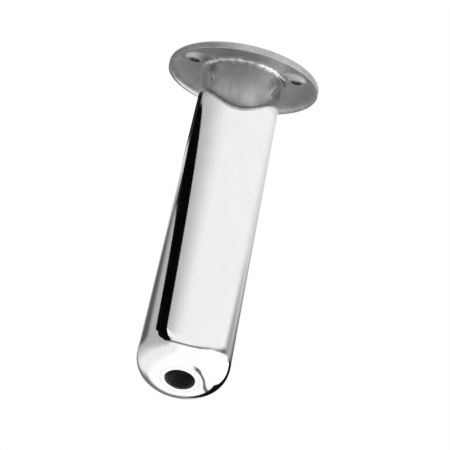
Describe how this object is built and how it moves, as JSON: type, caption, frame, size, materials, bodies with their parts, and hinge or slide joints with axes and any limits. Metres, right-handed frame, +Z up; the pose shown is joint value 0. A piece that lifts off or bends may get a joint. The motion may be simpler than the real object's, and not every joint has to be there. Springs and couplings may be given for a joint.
{
  "type": "flush-mount fishing rod holder",
  "caption": "Flush-mount rod holder: oval cast flange on a polished tube leaning 30 degrees, with liner, gimbal pin and a round-cornered end cap with threaded drain.",
  "frame": {"origin": "middle of the oval flange on the plane of its mounting lip, where it sits on the deck", "axes": "+Z up out of the deck; the tube goes down through the deck and its closed end leans 30 degrees towards -Y; +X across the flange, along the gimbal pin"},
  "size_m": [0.0964, 0.2014, 0.2243],
  "materials": {
    "cast_steel": "satin cast stainless steel, fine blasted grain",
    "polished_steel": "mirror-polished stainless steel tube and cap",
    "ground_weld": "weld ground flush and polished",
    "weld_steel": "as-welded bead, rippled, brushed bright",
    "pin_steel": "drawn stainless bar",
    "bushing_steel": "turned stainless steel with a cut pipe thread",
    "liner_vinyl": "soft white vinyl"
  },
  "bodies": {
    "root": {"flange": "cast_steel", "liner": "liner_vinyl", "tube": "polished_steel", "flange_weld": "weld_steel", "gimbal_pin": "pin_steel", "pin_weld_left": "ground_weld", "pin_weld_right": "ground_weld", "end_cap": "polished_steel", "cap_weld": "ground_weld", "drain_bushing": "bushing_steel", "bushing_weld": "weld_steel"}
  },
  "joints": []
}
